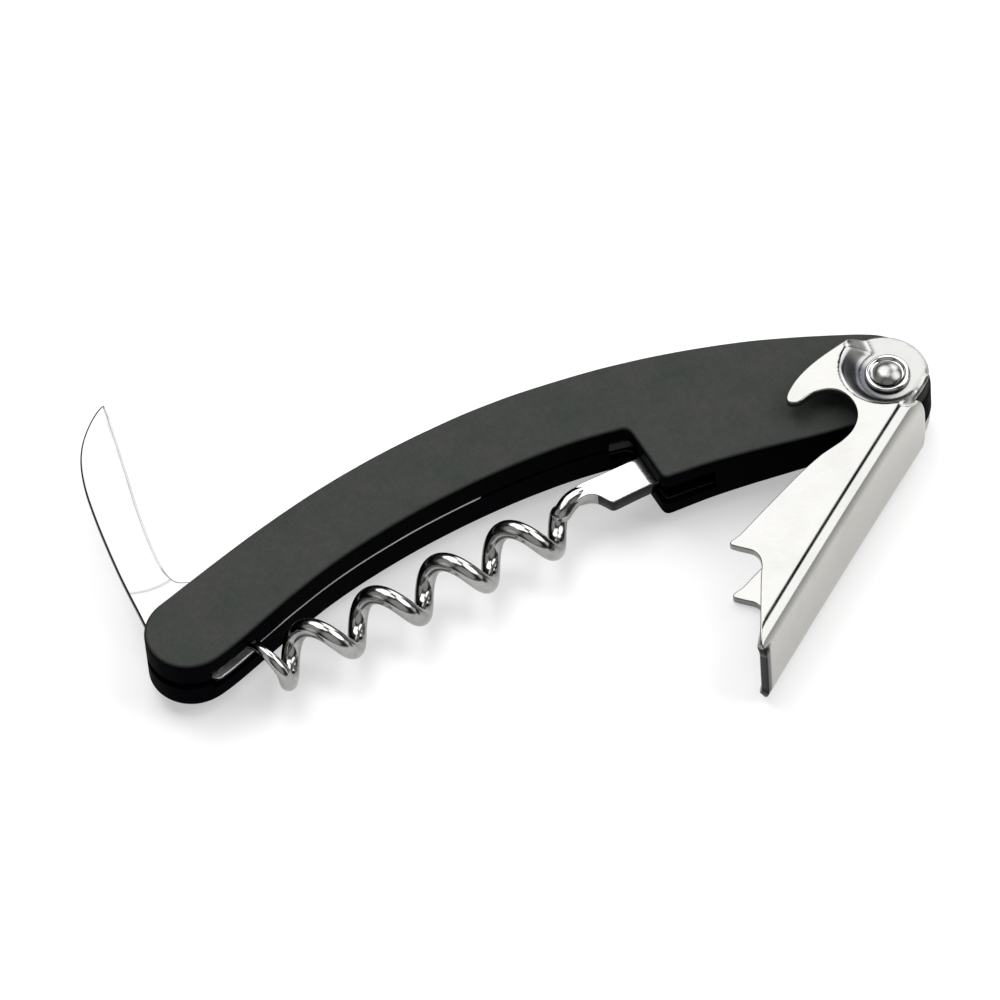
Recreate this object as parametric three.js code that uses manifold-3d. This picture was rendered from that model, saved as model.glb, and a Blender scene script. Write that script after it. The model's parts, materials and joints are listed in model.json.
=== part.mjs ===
// Waiter's corkscrew: two-shell curved handle with steel liners, a foil knife
// half out of the back slot, a five-turn worm folded under the concave side and
// a channel-section boot lever with a cap-lifter hook.
//
// Frame: +Z is the thickness, the tool lies on the lever's rear cheek at Z = 0.
// +X runs along the handle chord from the knife end to the lever pivot and +Y
// points to the convex back. The drawing frame used below has its origin at the
// lever pivot on the mid plane; the whole group is moved by (OX, OY, OZ) at the
// end so that the origin is at the bottom centre of the box.

import * as THREE from 'three';
import { mergeVertices } from 'three/addons/utils/BufferGeometryUtils.js';
import Module from 'manifold-3d';

// ---------------------------------------------------------------- dimensions
const OX = 50.32, OY = -2.375;    // drawing origin to part origin
const OZ = 6.75;                  // mid plane height

const HANDLE_H = 4.5;             // half thickness of the handle, knife end to step
const HANDLE_H_END = 3.0;         // half thickness at the lever pivot
const TAPER_X = -34.8;            // the taper starts at the step
const COVER_FILLET = 0.6;
const COVER_IN = 1.95;            // inner face of a cover
const COVER_MEET = 0.04;          // closed end: parting line half gap
const CLOSED_X = -26.4;           // covers meet each other right of this
const LINER_IN = 1.25, LINER_OUT = 1.9;
const LINER_INSET = 0.6;
const LIP_DEPTH = 0.52;           // inner lips of the covers on the underside
const LIP_X = [-92.2, -37.6];     // where they start and stop
const LIP_FRONT = 0.75, LIP_REAR = 0.15; // heights that leave the spring's edge showing
const HEEL_LIP = 0.75, HEEL_LIP_DEPTH = 0.95; // lips beside the tang
const LINER_HEEL = 1.4;           // extra distance of the liners from the wall there

const KNIFE_PIVOT = [-100.46, -1.58];
const KNIFE_T = 1.2;
const TANG_R = 4.5;
const KNIFE_PIN_R = 1.4;

const WORM_PIVOT = [-30.4, 1.2];
const WORM_PIN_R = 1.3;
const WORM_OD = 8.0;
const WIRE_R = 1.28;
const WORM_PITCH = 10.15;
const WORM_AXIS = [-90.88, -8.31]; // point on the coil axis
const WORM_TILT = 7.85;            // degrees, coil axis to +X
const WORM_U0 = 0.25;              // axial place of the first lowest point
const WORM_PHI0 = 215;             // and its phase
const TANG_T = 2.2;

const SPRING_T = 2.0;
const SPRING_RECESS = 0.62, SPRING_HEIGHT = 2.1, SPRING_TIP = 0.9;
const SPRING_PINS = [[-72.0, 5.1], [-50.0, 8.5]];
const RIB_Z = [0.2, 0.7], RIB_RECESS = 0.06, RIB_X = [-91.9, -56]; // rib that shows between the lips
const PIN_R = 0.8;

const LEVER_W = 6.75;             // half width outside
const SHEET = 1.2;
const BEND_R = 2.4;               // outside bend radius
const EAR_OUT = 4.5;              // outer face of the joggled ear
const EAR_R_IN = 4.3, EAR_R_OUT = 6.2;
const RIVET_R = 1.5, RIVET_HEAD_R = 2.0;
const BUSH_R = 2.3;
const WASHER_R = 3.1;

// ------------------------------------------------------------------ helpers
const wasm = await Module();
wasm.setup();

function solid(geometry) {
  const g = geometry.clone();
  g.deleteAttribute('normal');
  g.deleteAttribute('uv');
  const m = mergeVertices(g, 1e-5);
  return new wasm.Manifold(new wasm.Mesh({
    numProp: 3,
    vertProperties: new Float32Array(m.attributes.position.array),
    triVerts: new Uint32Array(m.index.array),
  }));
}

function geometryOf(manifold) {
  const mesh = manifold.getMesh();
  const g = new THREE.BufferGeometry();
  g.setAttribute('position', new THREE.BufferAttribute(new Float32Array(mesh.vertProperties), 3));
  g.setIndex(new THREE.BufferAttribute(new Uint32Array(mesh.triVerts), 1));
  g.computeVertexNormals();
  return g;
}

function fromTriangles(vertices, faces) {
  const g = new THREE.BufferGeometry();
  g.setAttribute('position', new THREE.BufferAttribute(new Float32Array(vertices.flat()), 3));
  g.setIndex(faces.flat());
  return g;
}

const area = (p) => THREE.ShapeUtils.area(p.map((q) => new THREE.Vector2(...q)));
const ccw = (p) => (area(p) < 0 ? [...p].reverse() : p);

// counter-clockwise triangles of a closed outline
function triangulate(p) {
  const tris = THREE.ShapeUtils.triangulateShape(p.map((q) => new THREE.Vector2(...q)), []);
  return tris.map(([a, b, c]) => (area([p[a], p[b], p[c]]) < 0 ? [a, c, b] : [a, b, c]));
}

// prism of a closed outline between two heights
function prism(outline, z0, z1, holes = []) {
  const shape = new THREE.Shape(outline.map((q) => new THREE.Vector2(...q)));
  for (const [x, y, r, n = 28] of holes) {
    const path = new THREE.Path();
    path.absarc(x, y, r, 0, Math.PI * 2, true);
    shape.holes.push(new THREE.Path(path.getPoints(n).slice(0, -1)));
  }
  const g = new THREE.ExtrudeGeometry(shape, { depth: z1 - z0, bevelEnabled: false, curveSegments: 24 });
  g.translate(0, 0, z0);
  return g;
}

// solid of revolution about the Z axis at x, y; profile is [r, z] pairs
function turned(profile, x, y, n = 28) {
  const g = new THREE.LatheGeometry(profile.map((q) => new THREE.Vector2(...q)), n);
  g.rotateX(Math.PI / 2);            // lathe axis Y -> Z
  g.translate(x, y, 0);
  return g;
}

const rod = (x, y, r, z0, z1, n = 28) => turned([[0, z0], [r, z0], [r, z1], [0, z1]], x, y, n);

// move every point of a closed outline inwards by d
function inset(p, d) {
  const n = p.length;
  return p.map((q, i) => {
    const a = p[(i + n - 1) % n], b = p[(i + 1) % n];
    const u = new THREE.Vector2(q[0] - a[0], q[1] - a[1]).normalize();
    const v = new THREE.Vector2(b[0] - q[0], b[1] - q[1]).normalize();
    const m = new THREE.Vector2(-u.y - v.y, u.x + v.x).normalize();
    const k = Math.max(0.35, m.x * -u.y + m.y * u.x);
    return [q[0] + (m.x * d) / k, q[1] + (m.y * d) / k];
  });
}

// the same, leaving out the points that fold over at tight corners
function shrink(p, d) {
  const toEdge = (q) => Math.min(...p.map((a, i) => {
    const b = p[(i + 1) % p.length];
    const dx = b[0] - a[0], dy = b[1] - a[1];
    const t = Math.max(0, Math.min(1, ((q[0] - a[0]) * dx + (q[1] - a[1]) * dy) / (dx * dx + dy * dy)));
    return Math.hypot(q[0] - a[0] - dx * t, q[1] - a[1] - dy * t);
  }));
  return inset(p, d).filter((q) => toEdge(q) > d - 0.03);
}

function smooth(points, n) {
  return new THREE.SplineCurve(points.map((q) => new THREE.Vector2(...q)))
    .getSpacedPoints(n).map((q) => [q.x, q.y]);
}

function arc(cx, cy, r, a0, a1, n) {
  const out = [];
  for (let i = 0; i <= n; i++) {
    const a = THREE.MathUtils.degToRad(a0 + ((a1 - a0) * i) / n);
    out.push([cx + r * Math.cos(a), cy + r * Math.sin(a)]);
  }
  return out;
}

// stack of rings of equal length, each a list of [x, y, z], closed at both ends
// by caps that are given as lists of index loops
function stack(rings, loops) {
  const n = rings[0].length;
  const faces = [];
  for (let k = 0; k + 1 < rings.length; k++) {
    for (let i = 0; i < n; i++) {
      const j = (i + 1) % n;
      const a = k * n + i, b = k * n + j, c = (k + 1) * n + j, d = (k + 1) * n + i;
      faces.push([a, b, c], [a, c, d]);
    }
  }
  const top = (rings.length - 1) * n;
  for (const loop of loops) {
    const bottomTris = triangulate(loop.map((i) => rings[0][i]).map((q) => [q[0], q[1]]));
    const topTris = triangulate(loop.map((i) => rings.at(-1)[i]).map((q) => [q[0], q[1]]));
    for (const [a, b, c] of bottomTris) faces.push([loop[a], loop[c], loop[b]]);
    for (const [a, b, c] of topTris) faces.push([top + loop[a], top + loop[b], top + loop[c]]);
  }
  return fromTriangles(rings.flat(), faces);
}

// tube of varying elliptical section along points, closed at both ends
function sweep(points, radii, sides = 10) {
  const n = points.length;
  const P = points.map((q) => new THREE.Vector3(...q));
  const T = P.map((_, i) => P[Math.min(i + 1, n - 1)].clone().sub(P[Math.max(i - 1, 0)]).normalize());
  let N = new THREE.Vector3(0, 0, 1).cross(T[0]).normalize();
  const vertices = [], faces = [];
  for (let i = 0; i < n; i++) {
    N = N.clone().sub(T[i].clone().multiplyScalar(N.dot(T[i]))).normalize();
    const B = T[i].clone().cross(N);
    for (let k = 0; k < sides; k++) {
      const a = (2 * Math.PI * k) / sides;
      const q = P[i].clone().addScaledVector(N, radii[i] * Math.cos(a)).addScaledVector(B, radii[i] * Math.sin(a));
      vertices.push([q.x, q.y, q.z]);
    }
  }
  for (let i = 0; i + 1 < n; i++) {
    for (let k = 0; k < sides; k++) {
      const l = (k + 1) % sides;
      const a = i * sides + k, b = i * sides + l, c = (i + 1) * sides + l, d = (i + 1) * sides + k;
      faces.push([a, b, c], [a, c, d]);
    }
  }
  for (let k = 1; k + 1 < sides; k++) {
    faces.push([0, k + 1, k]);
    const m = (n - 1) * sides;
    faces.push([m, m + k, m + k + 1]);
  }
  return fromTriangles(vertices, faces);
}

// ------------------------------------------------------------ handle outline
// counter-clockwise: underside left to right, step, lower edge, pivot end, back
const underside = smooth([
  [-98.6, -7.28], [-96.2, -6.42], [-93.6, -5.3], [-90.99, -4.13], [-88.38, -2.96],
  [-85.76, -1.82], [-80.66, 0.2], [-75.74, 1.8], [-70.99, 3.05], [-66.19, 4.12],
  [-61.62, 4.92], [-57.05, 5.56], [-52.54, 6.02], [-48.21, 6.28], [-43.82, 6.36],
  [-39.61, 6.2], [-36.2, 5.88],
], 26);
const notch = arc(-36.0, 4.88, 1.0, 83, 6, 4);            // rounded inner corner
const lower = arc(-33.1, -2.92, 0.85, 187, 268, 5).concat(
  smooth([[-31, -3.72], [-27, -3.7], [-22.1, -3.95], [-16, -4.45], [-11.7, -4.8], [-7.2, -5.05], [-4.2, -5.16]], 10));
const nose = arc(0, 0, 5.78, -114, 20, 12);
const back = smooth([
  [5.32, 3.0], [4.72, 4.75], [3.5, 6.55], [1.9, 7.85], [0.03, 8.75], [-1.8, 9.45], [-7.5, 11.35], [-13.3, 13.05],
  [-17.3, 14.0], [-21.2, 14.78], [-25.2, 15.45], [-29.3, 16.0], [-34.8, 16.52], [-39.5, 16.86],
  [-46.07, 17.12], [-50.41, 17.06], [-54.8, 16.82], [-59.3, 16.34], [-63.75, 15.74], [-68.38, 14.95],
  [-73.13, 13.93], [-77.81, 12.74], [-82.74, 11.26], [-87.72, 9.6], [-92.64, 7.8], [-97.86, 5.8], [-100.6, 4.72],
], 40);
const heel = arc(KNIFE_PIVOT[0], KNIFE_PIVOT[1], 5.95, 112, 282, 16);
const outline = ccw([...underside, ...notch, ...lower, ...nose, ...back, ...heel]);

const taper = (x) => (x <= TAPER_X ? HANDLE_H
  : HANDLE_H + ((HANDLE_H_END - HANDLE_H) * (x - TAPER_X)) / (0 - TAPER_X));

const nearest = (p, x, y) => p.reduce((best, q, i) =>
  (Math.hypot(q[0] - x, q[1] - y) < Math.hypot(p[best][0] - x, p[best][1] - y) ? i : best), 0);

// a lip between the wall and a line d inside it, from z to inside the cover
function lip(test, d, z) {
  const deep = inset(outline, d);
  const k = outline.map((q, i) => i).filter((i) => test(outline[i]));
  // the run starts after the one gap in the index list
  const start = k.findIndex((i, j) => i !== (k[(j + k.length - 1) % k.length] + 1) % outline.length);
  const run = [...k.slice(start), ...k.slice(0, start)];
  return prism(ccw([...run.map((i) => outline[i]), ...run.map((i) => deep[i]).reverse()]), z, COVER_IN + 0.3);
}

// one cover, drawn on the +Z side; low is how far its underside lip reaches
function cover(low) {
  const n = outline.length;
  const iN = nearest(outline, -35.0, 4.9), iB = nearest(outline, -34.8, 16.52);
  const loop = (from, to) => { const out = []; for (let i = from; i !== to; i = (i + 1) % n) out.push(i); out.push(to); return out; };
  const loops = [loop(iN, iB), loop(iB, iN)];
  const ring = (d, f) => inset(outline, d).map((q) => [q[0], q[1], f(q[0])]);
  const F = COVER_FILLET;
  const body = stack([
    ring(0, () => COVER_MEET),
    ring(0, (x) => taper(x) - F),
    ring(F * (1 - Math.cos(Math.PI / 6)), (x) => taper(x) - F + F * Math.sin(Math.PI / 6)),
    ring(F * (1 - Math.cos(Math.PI / 3)), (x) => taper(x) - F + F * Math.sin(Math.PI / 3)),
    ring(F, (x) => taper(x)),
  ], loops);
  // open slot from the knife end to the worm pocket, closed round the pivot end
  const slot = new THREE.BoxGeometry(120, 60, 2 * COVER_IN);
  slot.translate(CLOSED_X - 60, 0, 0);
  const pocket = prism(shrink(outline, LINER_INSET - 0.08), -1, COVER_IN);
  let m = solid(body).subtract(solid(slot)).subtract(solid(pocket));
  m = m.subtract(solid(rod(0, 0, BUSH_R + 0.06, -1, 6, 32)));
  m = m.subtract(solid(rod(...KNIFE_PIVOT, KNIFE_PIN_R + 0.05, 1, 3.05)));
  m = m.subtract(solid(rod(...WORM_PIVOT, WORM_PIN_R + 0.05, 1, 3.05)));
  for (const [x, y] of SPRING_PINS) m = m.subtract(solid(rod(x, y, PIN_R + 0.05, 1, 3.05, 20)));
  m = m.add(solid(lip(([x, y]) => x > LIP_X[0] && x < LIP_X[1] && underside.some((q) => q[0] === x && q[1] === y), LIP_DEPTH, low)));
  const onHeel = ([x, y]) => heel.some((q) => q[0] === x && q[1] === y);
  return m.add(solid(lip(onHeel, HEEL_LIP_DEPTH, HEEL_LIP)));
}

function liner() {
  // the liners stand back from the wall round the tang
  const edge = shrink(outline, LINER_INSET).map(([x, y]) => {
    const t = Math.max(0, Math.min(1, (-98 - x) / 2)), s = LINER_HEEL * t * t * (3 - 2 * t);
    const dx = KNIFE_PIVOT[0] - x, dy = KNIFE_PIVOT[1] - y, d = Math.hypot(dx, dy);
    return [x + (dx / d) * s, y + (dy / d) * s];
  });
  return prism(edge, LINER_IN, LINER_OUT, [
    [0, 0, BUSH_R + 0.06, 32],
    [...KNIFE_PIVOT, KNIFE_PIN_R + 0.05],
    [...WORM_PIVOT, WORM_PIN_R + 0.05],
    ...SPRING_PINS.map(([x, y]) => [x, y, PIN_R + 0.05, 24]),
  ]);
}


function spring() {
  const bottom = underside.filter(([x]) => x > -93 && x < -36.4).map(([x, y]) => [x, y + SPRING_RECESS]);
  // the strip thins towards the tang, so the folded blade clears it
  const top = [...bottom].reverse().map(([x, y]) => [x + 0.1,
    y + SPRING_HEIGHT + (SPRING_TIP - SPRING_HEIGHT) * Math.max(0, Math.min(1, (-87.5 - x) / 4.2))]);
  const right = [[-34.4, 6.1], [-33.2, 5.3], [-31.5, 4.55], [-29.6, 4.55], [-28.4, 5.2], [-27.4, 6.6], [-27.2, 7.6], [-28.2, 8.35], [-31, 8.45]];
  const eyes = SPRING_PINS.map(([x, y]) => solid(rod(x, y, 1.55, -SPRING_T / 2, SPRING_T / 2, 32)));
  let m = solid(prism(ccw([...bottom, ...right, ...top]), -SPRING_T / 2, SPRING_T / 2));
  for (const e of eyes) m = m.add(e);
  const rib = underside.filter(([x]) => x > RIB_X[0] && x < RIB_X[1]);
  m = m.add(solid(prism(ccw([...rib.map(([x, y]) => [x, y + RIB_RECESS]), ...rib.map(([x, y]) => [x, y + SPRING_RECESS + 0.25]).reverse()]), ...RIB_Z)));
  for (const [x, y] of SPRING_PINS) m = m.subtract(solid(rod(x, y, PIN_R + 0.03, -3, 3, 20)));
  return m;
}

// -------------------------------------------------------------------- knife
function knife() {
  const spine = smooth([
    [-104.9, 1.6], [-104.93, 4.03], [-105.0, 6.37], [-105.15, 9.62], [-105.24, 13.03], [-105.23, 16.89], [-105.15, 20.6],
    [-104.98, 24.2], [-104.68, 27.7], [-104.1, 30.9], [-103.28, 33.42], [-102.15, 35.58], [-100.46, 37.8],
    [-98.83, 39.4], [-97.44, 40.27],
  ], 30);
  const edge = smooth([
    [-97.5, 37.6], [-97.75, 35.1], [-98.08, 32.05], [-98.52, 28.0], [-99.02, 23.6], [-99.36, 19.17],
    [-99.5, 14.8], [-99.4, 11.9], [-99.1, 10.2], [-98.6, 9.2], [-97.9, 8.72], [-96.97, 8.5],
  ], 22);
  const tang = [[-96.2, 7.6], [-95.9, 5.5], [-95.88, 2.5]].concat(arc(...KNIFE_PIVOT, TANG_R, 8, -172, 20)).concat([[-104.95, -0.4]]);
  const outer = ccw([...spine, ...edge, ...tang]);
  let m = solid(prism(outer, -KNIFE_T / 2, KNIFE_T / 2, [[...KNIFE_PIVOT, KNIFE_PIN_R + 0.07]]));
  // ground bevels on both faces, from mid blade to the cutting edge
  for (const s of [1, -1]) {
    const rows = [[10.5, -99.4], [14.8, -99.5], [19.17, -99.36], [23.6, -99.02], [28, -98.52], [32.05, -98.08], [35.1, -97.75], [37.6, -97.5], [41.2, -97.3]];
    const ring = (t) => rows.map(([y, x]) => {
      const c = [[-2.6, KNIFE_T / 2], [0.0, 0.12], [0.6, 0.02], [0.6, 1.4], [-2.6, 1.4]][t];
      return [x + c[0], y, s * c[1]];
    });
    const sections = rows.map((_, i) => [0, 1, 2, 3, 4].map((t) => ring(t)[i]));
    const vertices = sections.flat(), faces = [];
    const f = (a, b, c) => faces.push(s > 0 ? [a, b, c] : [a, c, b]);
    for (let i = 0; i + 1 < sections.length; i++) for (let k = 0; k < 5; k++) {
      const l = (k + 1) % 5, a = i * 5 + k, b = i * 5 + l, c = (i + 1) * 5 + l, d = (i + 1) * 5 + k;
      f(a, b, c); f(a, c, d);
    }
    const e = (sections.length - 1) * 5;
    for (let k = 1; k < 4; k++) { f(0, k + 1, k); f(e, e + k, e + k + 1); }
    const g = fromTriangles(vertices, faces);
    let c = solid(g);
    if (c.volume() < 0) c = solid(fromTriangles(vertices, faces.map(([a, b, d]) => [a, d, b])));
    m = m.subtract(c);
  }
  return m;
}

// --------------------------------------------------------------------- worm
function worm() {
  const t = THREE.MathUtils.degToRad(WORM_TILT);
  const a = [Math.cos(t), Math.sin(t)], v = [-Math.sin(t), Math.cos(t)];
  const place = (u, w, z) => [WORM_AXIS[0] + a[0] * u + v[0] * w, WORM_AXIS[1] + a[1] * u + v[1] * w, z];
  const R = WORM_OD / 2;
  const points = [], radii = [];
  const last = WORM_PHI0 + 4 * 360 + 118;
  for (let phi = 22; phi <= last; phi += 15) {
    const turn = (phi - WORM_PHI0) / 360;
    // the point is drawn in over the last half turn
    const u = turn >= 0.12 ? WORM_U0 + WORM_PITCH * turn
      : WORM_U0 + WORM_PITCH * 0.12 + WORM_PITCH * (turn - 0.12) * (1 - 0.44 * Math.min(1, (0.12 - turn) / 0.3));
    const k = Math.min(1, (phi - 22) / 240);
    const r = 0.16 + (WIRE_R - 0.16) * Math.sqrt(k);
    const q = THREE.MathUtils.degToRad(phi);
    points.push(place(u, (R - r) * Math.cos(q), (R - r) * Math.sin(q)));
    radii.push(r);
  }
  // lead out of the coil to the flattened shank
  const end = points.at(-1);
  const lead = new THREE.CatmullRomCurve3([
    new THREE.Vector3(...points.at(-2)), new THREE.Vector3(...end),
    new THREE.Vector3(-47.1, -0.1, -0.85), new THREE.Vector3(-45.6, 0.72, -0.35),
    new THREE.Vector3(-43.9, 1.12, 0), new THREE.Vector3(-41.5, 1.35, 0),
  ]);
  for (const s of [0.35, 0.48, 0.6, 0.72, 0.85, 1.0]) {
    const q = lead.getPoint(s);
    points.push([q.x, q.y, q.z]);
    radii.push(s > 0.9 ? 0.95 : s > 0.8 ? 1.08 : WIRE_R - 0.06);
  }
  let m = solid(sweep(points, radii, 10));
  const W = WORM_PIVOT;
  const shank = ccw([
    [-45.0, 1.95], [-43.36, 2.2], [-35.48, 3.0], [-33.0, 3.35], ...arc(W[0], W[1], 3.0, 118, -78, 12),
    [-33.2, -1.55], [-35.0, -1.78], [-40.6, -2.5], [-41.1, -1.9], [-41.6, -1.15], [-42.25, -0.4], [-43.2, 0.05], [-44.4, 0.0], [-45.2, -0.15],
  ]);
  m = m.add(solid(prism(shank, -TANG_T / 2, TANG_T / 2)));
  return m.subtract(solid(rod(W[0], W[1], WORM_PIN_R + 0.07, -3, 3)));
}

// -------------------------------------------------------------------- lever
function lever() {
  // outer line of the web, tip to pivot end, slightly bowed outwards
  const line = new THREE.QuadraticBezierCurve(new THREE.Vector2(-33.3, -36.75), new THREE.Vector2(-15.9, -21.6), new THREE.Vector2(3.2, -5.85)).getPoints(10);
  const n = line.length;
  const section = (H) => {
    const q = [];
    const bend = (r, w0, z0, a0, a1, steps) => {
      for (let i = 0; i <= steps; i++) {
        const b = THREE.MathUtils.degToRad(a0 + ((a1 - a0) * i) / steps);
        q.push([w0 - r * Math.cos(b), z0 + r * Math.sin(b)]);
      }
    };
    const O = BEND_R, I = BEND_R - SHEET, Z = LEVER_W;
    q.push([H, Z]);
    bend(O, O, Z - O, 90, 0, 6);
    bend(O, O, -(Z - O), 0, -90, 6);
    q.push([H, -Z], [H, -(Z - SHEET)]);
    bend(I, O, -(Z - O), -90, 0, 5);
    bend(I, O, Z - O, 0, 90, 5);
    q.push([H, Z - SHEET]);
    return q;
  };
  const prof = ccw(section(32));
  const sections = line.map((p, i) => {
    const a = line[Math.max(i - 1, 0)], b = line[Math.min(i + 1, n - 1)];
    const d = b.clone().sub(a).normalize();
    const inward = new THREE.Vector2(-d.y, d.x);
    return prof.map(([w, z]) => [p.x + inward.x * w, p.y + inward.y * w, z]);
  });
  const k = prof.length, vertices = sections.flat(), faces = [];
  for (let i = 0; i + 1 < n; i++) for (let j = 0; j < k; j++) {
    const l = (j + 1) % k, a = i * k + j, b = i * k + l, c = (i + 1) * k + l, d = (i + 1) * k + j;
    faces.push([a, b, c], [a, c, d]);
  }
  const cap = triangulate(prof);
  const e = (n - 1) * k;
  for (const [a, b, c] of cap) {
    faces.push([a, c, b]);
    faces.push([e + a, e + b, e + c]);
  }
  let u = solid(fromTriangles(vertices, faces));
  if (u.volume() < 0) u = solid(fromTriangles(vertices, faces.map(([a, b, c]) => [a, c, b])));

  // side view of the cheeks
  const hook = smooth([[-1.6, 6.5], [-3.89, 5.95], [-7.84, 4.75], [-10.39, 3.66], [-12.27, 2.52], [-13.78, 1.2], [-14.4, 0.3]], 9);
  const hookTip = [[-14.42, -0.22], [-14.04, -0.6], [-13.45, -0.86], [-12.9, -0.93]];
  const gulletA = smooth([[-12.2, -0.7], [-11.5, -0.46], [-10.1, -0.26], [-8.5, -0.55], [-7.2, -1.5], [-6.5, -3.1], [-6.45, -4.8], [-6.99, -6.4], [-8.4, -7.95], [-10.31, -8.95]], 14);
  const open = smooth([[-13.48, -9.85], [-16.94, -11.4], [-21.54, -13.85], [-26.09, -16.35], [-28.3, -17.6]], 8);
  const tooth = [[-29.3, -18.35], [-29.62, -18.8], [-29.3, -19.3], [-28.5, -20.1], [-27.75, -20.75], [-27.4, -21.5], [-27.35, -22.4]];
  const boot = [[-27.6, -23.4], [-28.4, -25.0], [-29.95, -28.66], [-31.4, -32.2], [-32.15, -34.3], [-32.3, -34.9], [-31.3, -36.4]];
  const outside = [[-29, -38], [6, -12]];
  const pivotEnd = [[1.2, -6.9], [1.45, -5.85]];
  const ear = arc(-0.45, 0.35, 6.15, -66, 96, 18);
  const side = ccw([...hook, ...hookTip, ...gulletA, ...open, ...tooth, ...boot, ...outside, [2.35, -7.25], ...pivotEnd, ...ear]);
  const blank = solid(prism(side, -8, 8));
  let m = u.intersect(blank);
  // corners of the web are relieved next to the ears
  m = m.subtract(solid(rod(0, 0, EAR_R_OUT, -8, 8, 40)));
  // joggled ears: flat inner disc and sloped wall
  const dish = turned([
    [0, EAR_OUT - SHEET], [EAR_R_IN, EAR_OUT - SHEET], [EAR_R_OUT - 0.15, LEVER_W - SHEET], [EAR_R_OUT + 0.35, LEVER_W - SHEET],
    [EAR_R_OUT + 0.35, LEVER_W], [EAR_R_OUT - 0.25, LEVER_W], [EAR_R_IN - 0.15, EAR_OUT], [0, EAR_OUT],
  ], 0, 0, 40);
  // on the far side of the pivot the ear stays flat out to its edge
  const flat = solid(prism(arc(-0.45, 0.35, 6.15, 0, 360, 36).slice(0, -1), EAR_OUT - SHEET, EAR_OUT));
  const bodySide = solid(prism([[-9, -9], [1.9, -9], [1.9, -3.6], [-1.2, 4.3], [-1.2, 9], [-9, 9]], 0, 9));
  const farSide = solid(prism([[1.6, -9], [9, -9], [9, 9], [-1.5, 9], [-1.5, 4.3], [1.6, -3.6]], 0, 9));
  let earUp = solid(dish).intersect(bodySide).add(flat.intersect(farSide)).intersect(blank);
  earUp = earUp.subtract(solid(rod(0, 0, RIVET_R + 0.08, -9, 9, 32)));
  const earDown = earUp.mirror([0, 0, 1]);
  m = m.add(earUp).add(earDown);
  return m;
}

// ------------------------------------------------------------------ assembly
const steel = (name, colour, rough) => new THREE.MeshStandardMaterial({ name, color: colour, roughness: rough, metalness: 1 });
const plastic = () => new THREE.MeshStandardMaterial({ name: 'black_plastic', color: 0x262827, roughness: 0.55, metalness: 0 });

const group = new THREE.Group();
const inner = new THREE.Group();
inner.position.set(OX, OY, OZ);
group.add(inner);

function add(name, geometry, material) {
  const g = geometry.isBufferGeometry ? geometry : geometryOf(geometry);
  const mesh = new THREE.Mesh(g, material);
  mesh.name = name;
  inner.add(mesh);
}

add('front_cover', cover(LIP_FRONT), plastic());
add('rear_cover', cover(-LIP_REAR).mirror([0, 0, 1]), plastic());
const linerUp = solid(liner());
add('front_liner', linerUp, steel('liner_steel', 0x9a9c9c, 0.35));
add('rear_liner', linerUp.mirror([0, 0, 1]), steel('liner_steel', 0x9a9c9c, 0.35));
add('back_spring', spring(), steel('spring_steel', 0x8d8f90, 0.3));
add('spring_pin_knife_side', rod(...SPRING_PINS[0], PIN_R, -3.0, 3.0, 20), steel('pin_steel', 0x9a9c9c, 0.35));
add('spring_pin_worm_side', rod(...SPRING_PINS[1], PIN_R, -3.0, 3.0, 20), steel('pin_steel', 0x9a9c9c, 0.35));

add('knife_blade', knife(), steel('blade_steel', 0xe6e7e6, 0.18));
add('knife_pin', rod(...KNIFE_PIVOT, KNIFE_PIN_R, -3.0, 3.0), steel('pin_steel', 0x9a9c9c, 0.35));
const knifeWasher = turned([[KNIFE_PIN_R + 0.06, 0.66], [3.2, 0.66], [3.2, 1.18], [KNIFE_PIN_R + 0.06, 1.18], [KNIFE_PIN_R + 0.06, 0.66]], ...KNIFE_PIVOT);
add('knife_washer_front', knifeWasher, steel('washer_brass', 0xb08d4a, 0.35));
add('knife_washer_rear', solid(knifeWasher).mirror([0, 0, 1]), steel('washer_brass', 0xb08d4a, 0.35));

add('worm', worm(), steel('worm_steel', 0xb9bab6, 0.15));
add('worm_pin', rod(...WORM_PIVOT, WORM_PIN_R, -3.0, 3.0), steel('pin_steel', 0x9a9c9c, 0.35));

const spacerOutline = ccw([[-25.6, 0.6], [-22, -1.6], [-9, -2.9], ...arc(0, 0, 4.3, -130, 60, 12), [-2, 6.4], [-12, 9.6], [-20, 11.6], [-25.6, 12.2]]);
add('end_spacer', prism(spacerOutline, -1.2, 1.2, [[0, 0, BUSH_R + 0.06, 32]]), steel('liner_steel', 0x9a9c9c, 0.4));
add('pivot_bush', turned([[RIVET_R + 0.06, -3.22], [BUSH_R, -3.22], [BUSH_R, 3.22], [RIVET_R + 0.06, 3.22], [RIVET_R + 0.06, -3.22]], 0, 0, 32), steel('bush_steel', 0xb0b1b0, 0.3));

add('lever', lever(), steel('lever_steel', 0xd6d6d2, 0.16));

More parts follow.
